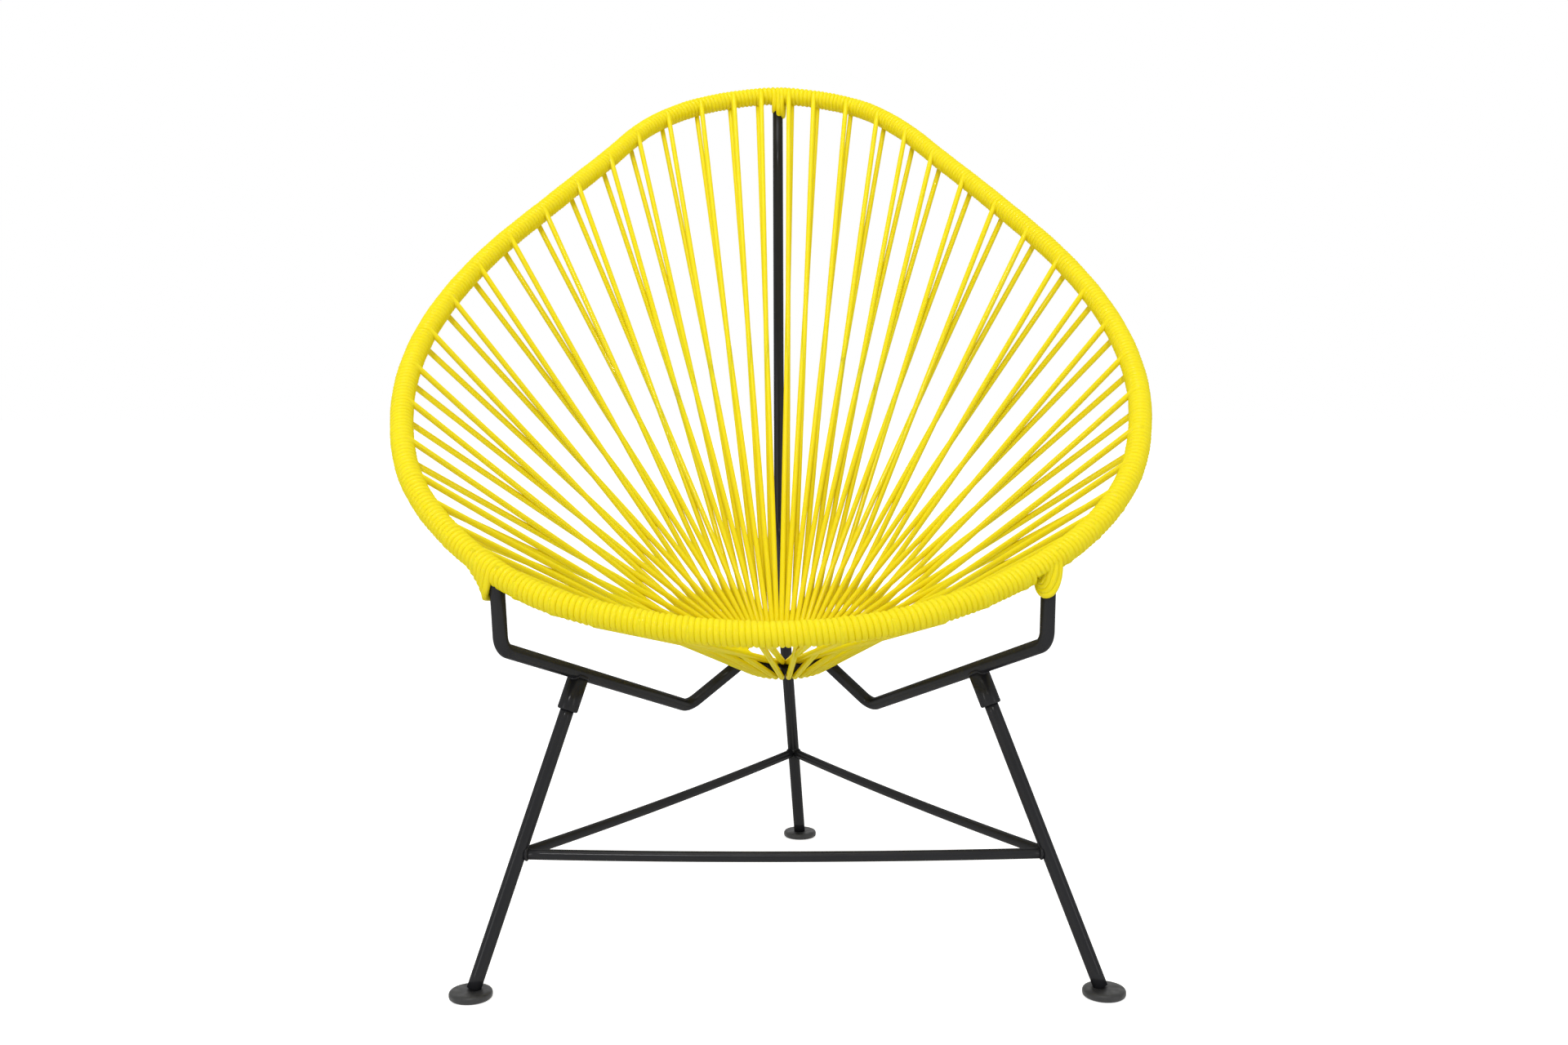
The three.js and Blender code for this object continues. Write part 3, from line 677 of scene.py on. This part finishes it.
foot_profile = [(FOOT_RADIUS * across, FOOT_THICKNESS * up) for across, up in FOOT_PROFILE_SHARES]
legs = []
for name, rod, share, foot in (
    ("front_left", left_arm, LEFT_SOCKET_SHARE, LEFT_FOOT),
    ("front_right", right_arm, RIGHT_SOCKET_SHARE, RIGHT_FOOT),
    ("rear", spine, SPINE_SOCKET_SHARE, REAR_FOOT),
):
    top = mix(rod[1], rod[2], share)
    legs.append((top, foot))
    down = unit(foot - top)
    bead_line = socket_bead(top, down, rod[2] - rod[1])
    add_frame_piece(f"{name}_socket_weld", sweep(bead_line, SOCKET_BEAD, BEAD_SIDES, closed=True))
    socket_shape = turned_profile(socket_profile(), top, down, SOCKET_SIDES)
    add_frame_piece(f"{name}_socket_tube", socket_shape, (f"{name}_socket",))
    leg_start = top + down * (SOCKET_BOTTOM - LEG_INSERT)
    leg_end = foot - down * (FOOT_THICKNESS / abs(down[2]))
    leg_shape = sweep(straight_points(leg_start, leg_end, LEG_STEPS), ROD_RADIUS, ROD_SIDES)
    add_frame_piece(f"{name}_leg_rod", leg_shape, (f"{name}_leg",))
    foot_shape = turned_profile(foot_profile, foot, (0, 0, 1), FOOT_SIDES)
    add_mesh(f"{name}_foot_disc", *foot_shape, foot_material, "foot_black", (f"{name}_foot",))


# Stretchers, with a low, slightly uneven weld bead at either end

def point_on_leg(leg, height):
    top, foot = leg
    return mix(foot, top, height / top[2])


def bowed(start, end):
    points = []
    for step in range(STRETCHER_STEPS + 1):
        share = step / STRETCHER_STEPS
        point = mix(start, end, share)
        point[2] -= STRETCHER_BOW * 4 * share * (1 - share)
        points.append(point)
    return points


def add_weld(name, place, axis, seed):
    random = np.random.default_rng(seed)
    first, second = square_to(axis)
    phases = random.uniform(0, 2 * math.pi, len(BEAD_WAVES))
    points = []
    radii = []
    for step in range(BEAD_STEPS):
        angle = 2 * math.pi * step / BEAD_STEPS
        waves = [math.sin(angle * wave + phase) for wave, phase in zip(BEAD_WAVES, phases)]
        ripple = sum(waves) / len(BEAD_WAVES)
        spoke = first * math.cos(angle) + second * math.sin(angle)
        wander = axis * STRETCHER_BEAD * ripple * BEAD_WANDER_SHARE
        points.append(place + spoke * STRETCHER_RADIUS + wander)
        radii.append(STRETCHER_BEAD * (1 + ripple * BEAD_SWELL_SHARE))
    add_frame_piece(name, sweep(points, radii, BEAD_SIDES, closed=True))


left_leg, right_leg, rear_leg = legs
left_knee = point_on_leg(left_leg, FRONT_STRETCHER_HEIGHT)
right_knee = point_on_leg(right_leg, FRONT_STRETCHER_HEIGHT)
rear_knee = point_on_leg(rear_leg, REAR_STRETCHER_HEIGHT)
stretchers = (
    ("front_stretcher", left_knee, right_knee),
    ("left_stretcher", left_knee, rear_knee),
    ("right_stretcher", right_knee, rear_knee),
)
seed = FIRST_SEED
for name, start, end in stretchers:
    add_frame_piece(f"{name}_rod", sweep(bowed(start, end), STRETCHER_RADIUS, STRETCHER_SIDES), (name,))
    along = unit(end - start)
    add_weld(f"{name}_weld_a", start + along * BEAD_SETBACK, along, seed)
    add_weld(f"{name}_weld_b", end - along * BEAD_SETBACK, along, seed + 1)
    seed += 2


# Places where strands leave the rim, and where they land on the seat ring

HALF_RING = math.pi * RING_RADIUS


def lead_place(station, side):
    if station == MIDDLE_STATION:
        return FRONT_PLACE + MIDDLE_LEADS[side] / RIM_LOOP
    shares = LEFT_STATION_SHARES if side == LEFT else RIGHT_STATION_SHARES
    return place_of(shares[station], side)


def trail_place(station, side):
    if station == MIDDLE_STATION:
        return FRONT_PLACE + MIDDLE_TRAILS[side] / RIM_LOOP
    trail = SHORT_TRAIL_LENGTH if station < SHORT_TRAILS else TRAIL_LENGTH
    return lead_place(station, side) - side * trail / RIM_LOOP


def under_angle(station, side):
    if station == MIDDLE_STATION:
        return (HALF_RING - MIDDLE_UNDER[side]) / RING_RADIUS
    length = HALF_RING - UNDER_STARTS[side] - UNDER_ENDS[side]
    return (UNDER_STARTS[side] + length * station / (MIDDLE_STATION - 1)) / RING_RADIUS


def over_angle(station, side):
    if station == MIDDLE_STATION:
        return (HALF_RING - MIDDLE_OVER[side]) / RING_RADIUS
    length = OVER_STARTS[side] + OVER_STEPS[side] * station
    last = MIDDLE_STATION - 1
    remainder = HALF_RING - OVER_END - OVER_STARTS[side] - OVER_STEPS[side] * last
    spread = max(station - SPREAD_STATION, 0) / (last - SPREAD_STATION)
    return (length + remainder * spread ** 2) / RING_RADIUS


def sideways(rod_direction, strand_direction, upward):
    """Square to a rod and to a strand that passes it, on the upward side."""
    across = unit(np.cross(rod_direction, strand_direction))
    return across if across @ upward > 0 else -across


# Winding round the rim: one continuous helix, which meets each leading strand where that leaves. Its
# outside is a whole cord out from the hoop, however thick it is drawn. Each piece of it runs a step on into
# the next piece.

WOUND_CENTRE = HOOP_RADIUS + 2 * CORD_RADIUS - WOUND_RADIUS


def rim_spoke(place, turn):
    return RIM_NORMAL * math.cos(turn) + rim_outward(place) * math.sin(turn)


def leaving_turn(place, ring_point):
    """The part of a turn at which a strand on the sitter's side heads for a point of the seat ring."""
    spoke = sideways(rim_tangent(place), ring_point - rim_centre(place), RIM_NORMAL)
    return math.atan2(spoke @ rim_outward(place), spoke @ RIM_NORMAL) / (2 * math.pi)


leads = []
for side in (LEFT, RIGHT):
    for station in range(MIDDLE_STATION + 1):
        place = lead_place(station, side)
        leads.append((place, leaving_turn(place, ring_centre(under_angle(station, side), side))))
knot_places = [0]
knot_turns = [0]
for place, fraction in sorted(leads):
    turn = knot_turns[-1] + (place - knot_places[-1]) * RIM_LOOP / WINDING_PITCH
    knot_places.append(place)
    knot_turns.append(fraction + round(turn - fraction))
TURNS = round(knot_turns[-1] + (1 - knot_places[-1]) * RIM_LOOP / WINDING_PITCH)
knot_places.append(1)
knot_turns.append(TURNS)


def place_of_turn(turn):
    return float(np.interp(turn % TURNS, knot_turns, knot_places))


def turn_of_place(place):
    return float(np.interp(place, knot_places, knot_turns))


def winding_point(turn):
    place = place_of_turn(turn)
    ripple = sum(length * math.sin(place * pace) for length, pace in WINDING_RIPPLES)
    return rim_centre(place) + rim_spoke(place, 2 * math.pi * turn) * (WOUND_CENTRE + ripple)


def plain_turns(first, last):
    steps = round((last - first) * TURN_STEPS) + 1
    return [winding_point(first + step / TURN_STEPS) for step in range(steps + 1)]


def hanging_turns(first, corners, hangs):
    """Turns whose lower halves reach down a rod and slant along the rim, each by its own lengths."""
    down = unit(corners[1] - corners[0])
    steps = len(hangs) * TURN_STEPS
    points = []
    for step in range(steps + 2):
        turn = first + step / TURN_STEPS
        hang, slant = hangs[min(step // TURN_STEPS, len(hangs) - 1)]
        place = place_of_turn(turn)
        tangent = rim_tangent(place)
        below = unit(down - tangent * (tangent @ down))
        spoke = rim_spoke(place, 2 * math.pi * turn)
        depth = max(float(spoke @ below), 0) if step < steps else 0
        beside = spoke - below * (spoke @ below)
        bulge = beside * depth * hang * HANG_BULGE_SHARE
        shift = down * hang * depth + tangent * slant * depth ** 2 + bulge
        points.append(winding_point(turn) + shift * MM)
    return points


def knuckle_turns(first, joint_place, corners, depths):
    """Turns whose lower halves pass round a rod instead of the rim, each at its own depth."""
    down = unit(corners[1] - corners[0])
    joint = rim_centre(joint_place)
    along = rim_tangent(joint_place)
    along = unit(along - down * (along @ down))
    outward = rim_outward(joint_place)
    outward = unit(outward - down * (outward @ down) - along * (outward @ along))
    reach = ROD_RADIUS + CORD_RADIUS + KNUCKLE_PLAY
    points = []
    for number, depth in enumerate(depths):
        turn = first + number
        points.extend(winding_point(turn + step / TURN_STEPS) for step in range(KNUCKLE_LEAVES + 1))
        leaving = points[-1] - joint
        start = math.atan2(float(leaving @ outward), float(leaving @ along))
        for swing, share in KNUCKLE_SHARES:
            angle = mix(start, KNUCKLE_TURN, swing)
            spoke = along * math.cos(angle) + outward * math.sin(angle)
            points.append(joint + down * depth * share * MM + spoke * reach)
        back = range(KNUCKLE_RETURNS, TURN_STEPS)
        points.extend(winding_point(turn + step / TURN_STEPS) for step in back)
    end = first + len(depths)
    points.extend(winding_point(end + step / TURN_STEPS) for step in range(2))
    before = winding_point(first - 1 / TURN_STEPS)
    after = winding_point(end + 2 / TURN_STEPS)
    return spline([before, *points, after], KNUCKLE_STEPS)


left_last = round(turn_of_place(left_arm_place)) + LEFT_TURNS_PAST
left_first = left_last - len(LEFT_HANGS)
right_last = round(turn_of_place(right_arm_place)) + RIGHT_TURNS_PAST
right_first = right_last - len(RIGHT_DEPTHS)
rear_first = TURNS + REAR_TURNS_PAST - len(REAR_HANGS)
right_knuckle = knuckle_turns(right_first, right_arm_place, right_arm, RIGHT_DEPTHS)
winding_pieces = (
    ("winding_left", plain_turns(REAR_TURNS_PAST, left_first), "left_rim_winding"),
    ("lashing_left", hanging_turns(left_first, left_arm, LEFT_HANGS), "front_left_lashing"),
    ("winding_front", plain_turns(left_last, right_first), "front_rim_winding"),
    ("lashing_right", right_knuckle, "front_right_lashing"),
    ("winding_right", plain_turns(right_last, rear_first), "right_rim_winding"),
    ("lashing_rear", hanging_turns(rear_first, spine, REAR_HANGS), "rear_lashing"),
)
for name, points, replaced in winding_pieces:
    shape = sweep(points, WOUND_RADIUS, WOUND_SIDES)
    add_mesh(name, *shape, cord_material, "cord_yellow", (replaced,))


# Seat cords

WRAP_RADIUS = HOOP_RADIUS + CORD_RADIUS
RING_REACH = RING_ROD_RADIUS + CORD_RADIUS + RING_PLAY


def rim_end(place, ring_point, layer):
    """Where a strand leaves the rim, and the points before it, tucked into the winding."""
    chord = ring_point - rim_centre(place)
    tangent = rim_tangent(place)
    spoke = layer * sideways(tangent, chord, RIM_NORMAL)
    heading = unit(chord - tangent * (chord @ tangent))
    points = []
    for step in range(TUCK_STEPS, -1, -1):
        angle = TUCK_STEP * step
        radius = WRAP_RADIUS + TUCK_RISE - TUCK_SINK * step
        spot = place + layer * WINDING_PITCH / RIM_LOOP * angle / (2 * math.pi)
        points.append(rim_centre(spot) + (spoke * math.cos(angle) - heading * math.sin(angle)) * radius)
    return points


def ring_end(angle, side, rim_point, layer, swing):
    """Round the seat ring from where a strand meets it, by a swing up or down its inner side."""
    centre = ring_centre(angle, side)
    tangent = ring_tangent(angle, side)
    towards = rim_point - centre
    up = sideways(tangent, towards, RING_NORMAL)
    heading = unit(towards - tangent * (towards @ tangent))
    points = []
    for step in range(SWING_STEPS + 1):
        turn = swing * step / SWING_STEPS
        radius = RING_REACH - RING_SINK * step / SWING_STEPS
        points.append(centre - (layer * up * math.cos(turn) + heading * math.sin(turn)) * radius)
    return points


def strand_path(station, side, layer):
    if layer == LEADING:
        place = lead_place(station, side)
        angle = under_angle(station, side)
        swing = UNDER_SWING
    else:
        place = trail_place(station, side)
        angle = over_angle(station, side)
        swing = OVER_SWING
    if station == MIDDLE_STATION:
        swing = MIDDLE_SWING
    start = rim_end(place, ring_centre(angle, side), layer)
    end = ring_end(angle, side, start[-1], layer, swing)
    return start + straight_points(start[-1], end[0], STRAND_STEPS)[1:-1] + end


def add_strands(name, stations, replaced):
    strands = []
    for station, side in stations:
        for layer in (LEADING, TRAILING):
            strands.append(sweep(strand_path(station, side, layer), STRUNG_RADIUS, STRUNG_SIDES))
    add_mesh(name, *joined(strands), cord_material, "cord_yellow", (replaced,))


for side_name, side in (("left", LEFT), ("right", RIGHT)):
    first = 0
    for number, count in enumerate(STATIONS_PER_FAN, start=1):
        stations = [(station, side) for station in range(first, first + count)]
        add_strands(f"cords_{side_name}_{number}", stations, f"seat_cords_{side_name}_{number}")
        first += count
add_strands("cords_middle", [(MIDDLE_STATION, LEFT), (MIDDLE_STATION, RIGHT)], "seat_cords_middle")


# Floor, sky and lamps

def directly_seen(tree):
    """1 for rays that look for the background: the camera's, and those of gloss and glass."""
    light_path = tree.nodes.new("ShaderNodeLightPath")
    total = light_path.outputs["Is Camera Ray"]
    for output in ("Is Glossy Ray", "Is Transmission Ray"):
        largest = tree.nodes.new("ShaderNodeMath")
        largest.operation = "MAXIMUM"
        tree.links.new(total, largest.inputs[0])
        tree.links.new(light_path.outputs[output], largest.inputs[1])
        total = largest.outputs["Value"]
    return total


def floor_material():
    material = bpy.data.materials.new("floor")
    material.use_nodes = True
    tree = material.node_tree
    tree.nodes.clear()
    diffuse = tree.nodes.new("ShaderNodeBsdfDiffuse")
    diffuse.inputs["Color"].default_value = FLOOR_GREY
    glow = tree.nodes.new("ShaderNodeEmission")
    seen = directly_seen(tree)
    gain = tree.nodes.new("ShaderNodeMath")
    gain.operation = "MULTIPLY"
    gain.inputs[1].default_value = FLOOR_GLOW
    total = tree.nodes.new("ShaderNodeAddShader")
    output = tree.nodes.new("ShaderNodeOutputMaterial")
    tree.links.new(seen, gain.inputs[0])
    tree.links.new(gain.outputs["Value"], glow.inputs["Strength"])
    tree.links.new(diffuse.outputs["BSDF"], total.inputs[0])
    tree.links.new(glow.outputs["Emission"], total.inputs[1])
    tree.links.new(total.outputs["Shader"], output.inputs["Surface"])
    return material


floor_mesh = bpy.data.meshes.new("floor")
floor_corners = (
    (-FLOOR_REACH, -FLOOR_REACH, 0), (FLOOR_REACH, -FLOOR_REACH, 0),
    (FLOOR_REACH, FLOOR_REACH, 0), (-FLOOR_REACH, FLOOR_REACH, 0),
)
floor_mesh.from_pydata(floor_corners, [], [(0, 1, 2, 3)])
floor_mesh.materials.append(floor_material())
floor = bpy.data.objects.new("floor", floor_mesh)
floor.location.z = -FLOOR_DROP
bpy.context.collection.objects.link(floor)

world = bpy.data.worlds.new("studio")
world.use_nodes = True
bpy.context.scene.world = world
tree = world.node_tree
background = tree.nodes["Background"]
background.inputs["Color"].default_value = SKY_WHITE
strength = tree.nodes.new("ShaderNodeMapRange")
strength.inputs["To Min"].default_value = SKY_LIGHT
strength.inputs["To Max"].default_value = SKY_SEEN
tree.links.new(directly_seen(tree), strength.inputs["Value"])
tree.links.new(strength.outputs["Result"], background.inputs["Strength"])


def add_lamp(name, place, target, size, power):
    data = bpy.data.lights.new(name, "AREA")
    data.shape = "RECTANGLE"
    data.size, data.size_y = size
    data.energy = power
    light = bpy.data.objects.new(name, data)
    light.location = place
    direction = np.array(target) - np.array(place)
    yaw = math.atan2(direction[1], direction[0]) - math.pi / 2
    pitch = math.atan2(math.hypot(direction[0], direction[1]), -direction[2])
    light.rotation_euler = (pitch, 0, yaw)
    bpy.context.collection.objects.link(light)


for lamp in LAMPS:
    add_lamp(*lamp)

bpy.context.scene.view_settings.view_transform = "Standard"
